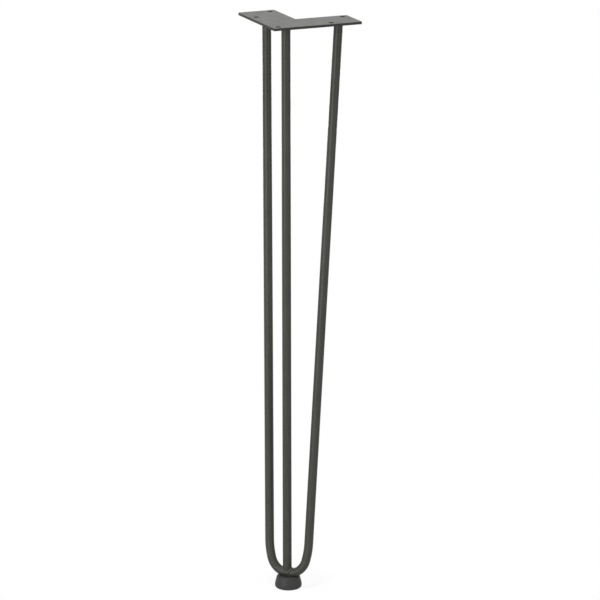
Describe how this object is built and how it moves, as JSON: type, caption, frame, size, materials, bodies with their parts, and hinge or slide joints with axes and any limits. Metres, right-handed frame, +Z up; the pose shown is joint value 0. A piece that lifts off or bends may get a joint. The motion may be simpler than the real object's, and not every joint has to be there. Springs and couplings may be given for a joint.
{
  "type": "hairpin table leg",
  "caption": "L-shaped screw-on plate carrying a bent hairpin of steel rod and an upright rod, welded together at plate and bend, on a round rubber foot.",
  "frame": {"origin": "on the plate's top face, straight above the lowest point of the hairpin's bend and the middle of the foot", "axes": "+Z up, out of the face that lies against the table top; +X along the plate's right arm and +Y along its left arm, seen from the outer corner"},
  "size_m": [0.1145, 0.1145, 0.711],
  "materials": {
    "coated_steel": "dark grey satin powder coat over mild steel",
    "foot_rubber": "dull dark grey moulded rubber"
  },
  "bodies": {
    "root": {"mounting_plate": "coated_steel", "hairpin_rod": "coated_steel", "upright_rod": "coated_steel", "left_leg_weld": "coated_steel", "right_leg_weld": "coated_steel", "upright_weld": "coated_steel", "bend_weld": "coated_steel", "foot": "foot_rubber"}
  },
  "joints": []
}
